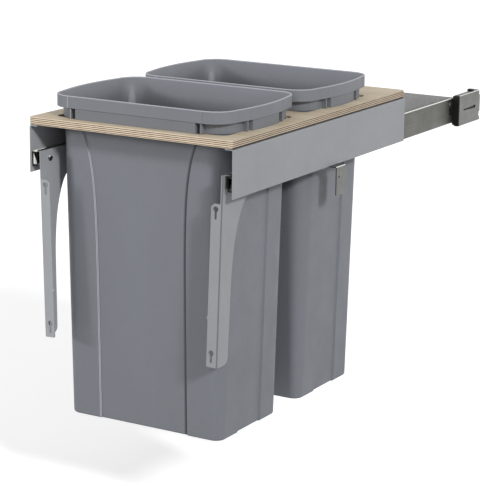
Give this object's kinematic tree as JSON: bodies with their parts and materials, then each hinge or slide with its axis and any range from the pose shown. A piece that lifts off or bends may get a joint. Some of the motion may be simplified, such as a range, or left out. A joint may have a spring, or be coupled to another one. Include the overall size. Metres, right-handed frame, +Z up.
{
  "type": "pull out trash cabinet",
  "caption": "Waste bins hung in a plywood platform on full-extension slides, with door brackets, for the inside of a kitchen base cabinet.",
  "frame": {"origin": "centre of the rear face of the cross plate that ties the two slides, which stays in the cabinet", "axes": "+X to the right seen from the front, +Y to the back of the cabinet, +Z up; the platform slides along -Y"},
  "size_m": [0.381, 0.8473, 0.5093],
  "materials": {
    "birch_ply": "sanded birch plywood with its plies showing at the edges",
    "grey_polypropylene": "moulded grey polypropylene, fine matt grain",
    "grey_powder_coat": "light grey powder coat, satin",
    "slide_zinc": "dull zinc-plated steel strip",
    "bright_zinc": "bright zinc-plated steel",
    "ball_steel": "hardened steel balls in a plated cage",
    "black_plastic": "black moulded plastic",
    "pale_nylon": "natural nylon"
  },
  "bodies": {
    "cabinet_frame": {"rear_cross_plate": "slide_zinc", "slide_cabinet_member_right": "slide_zinc", "slide_cabinet_member_left": "slide_zinc", "rear_end_block_right": "black_plastic", "rear_end_block_left": "black_plastic", "rear_bracket_right": "bright_zinc", "rear_bracket_left": "bright_zinc", "front_tab_right": "bright_zinc", "front_tab_left": "bright_zinc", "cross_plate_rivet_right": "bright_zinc", "end_block_screw_right": "bright_zinc", "tab_rivet_right": "bright_zinc", "cross_plate_rivet_left": "bright_zinc", "end_block_screw_left": "bright_zinc", "tab_rivet_left": "bright_zinc"},
    "platform": {"plywood_platform": "birch_ply", "side_rail_right": "grey_powder_coat", "side_rail_left": "grey_powder_coat", "slide_drawer_member_right": "slide_zinc", "slide_drawer_member_left": "slide_zinc", "front_bumper_right": "black_plastic", "front_bumper_left": "black_plastic", "slide_pad_right": "pale_nylon", "slide_pad_left": "pale_nylon", "door_bracket_right": "grey_powder_coat", "door_bracket_left": "grey_powder_coat", "rail_rivet_right_1": "bright_zinc", "rail_rivet_right_2": "bright_zinc", "rail_rivet_right_3": "bright_zinc", "bracket_screw_right_1": "bright_zinc", "bracket_screw_right_2": "bright_zinc", "platform_screw_right_1": "bright_zinc", "platform_screw_right_2": "bright_zinc", "platform_screw_right_3": "bright_zinc", "rail_rivet_left_1": "bright_zinc", "rail_rivet_left_2": "bright_zinc", "rail_rivet_left_3": "bright_zinc", "bracket_screw_left_1": "bright_zinc", "bracket_screw_left_2": "bright_zinc", "platform_screw_left_1": "bright_zinc", "platform_screw_left_2": "bright_zinc", "platform_screw_left_3": "bright_zinc"},
    "front_bin": {"bin_front": "grey_polypropylene"},
    "rear_bin": {"bin_rear": "grey_polypropylene"},
    "middle_right": {"slide_middle_member_right": "slide_zinc"},
    "outer_cage_right": {"outer_ball_cage_right": "ball_steel"},
    "inner_cage_right": {"inner_ball_cage_right": "ball_steel"},
    "middle_left": {"slide_middle_member_left": "slide_zinc"},
    "outer_cage_left": {"outer_ball_cage_left": "ball_steel"},
    "inner_cage_left": {"inner_ball_cage_left": "ball_steel"}
  },
  "joints": [
    {"name": "platform_slide", "type": "slide", "parent": "cabinet_frame", "child": "platform", "axis": [0, -1, 0], "range_m": [-0.19, 0.34]},
    {"name": "middle_right_slide", "type": "slide", "parent": "cabinet_frame", "child": "middle_right", "axis": [0, -1, 0], "range_m": [-0.095, 0.17]},
    {"name": "outer_cage_right_slide", "type": "slide", "parent": "cabinet_frame", "child": "outer_cage_right", "axis": [0, -1, 0], "range_m": [-0.0475, 0.085]},
    {"name": "inner_cage_right_slide", "type": "slide", "parent": "cabinet_frame", "child": "inner_cage_right", "axis": [0, -1, 0], "range_m": [-0.1425, 0.255]},
    {"name": "middle_left_slide", "type": "slide", "parent": "cabinet_frame", "child": "middle_left", "axis": [0, -1, 0], "range_m": [-0.095, 0.17]},
    {"name": "outer_cage_left_slide", "type": "slide", "parent": "cabinet_frame", "child": "outer_cage_left", "axis": [0, -1, 0], "range_m": [-0.0475, 0.085]},
    {"name": "inner_cage_left_slide", "type": "slide", "parent": "cabinet_frame", "child": "inner_cage_left", "axis": [0, -1, 0], "range_m": [-0.1425, 0.255]},
    {"name": "front_bin_lift", "type": "slide", "parent": "platform", "child": "front_bin", "axis": [0, 0, 1], "range_m": [0, 0.52]},
    {"name": "rear_bin_lift", "type": "slide", "parent": "platform", "child": "rear_bin", "axis": [0, 0, 1], "range_m": [0, 0.52]}
  ],
  "couplings": [
    {"joint": "middle_right_slide", "follows": "platform_slide", "ratio": 0.5},
    {"joint": "outer_cage_right_slide", "follows": "platform_slide", "ratio": 0.25},
    {"joint": "inner_cage_right_slide", "follows": "platform_slide", "ratio": 0.75},
    {"joint": "middle_left_slide", "follows": "platform_slide", "ratio": 0.5},
    {"joint": "outer_cage_left_slide", "follows": "platform_slide", "ratio": 0.25},
    {"joint": "inner_cage_left_slide", "follows": "platform_slide", "ratio": 0.75}
  ]
}
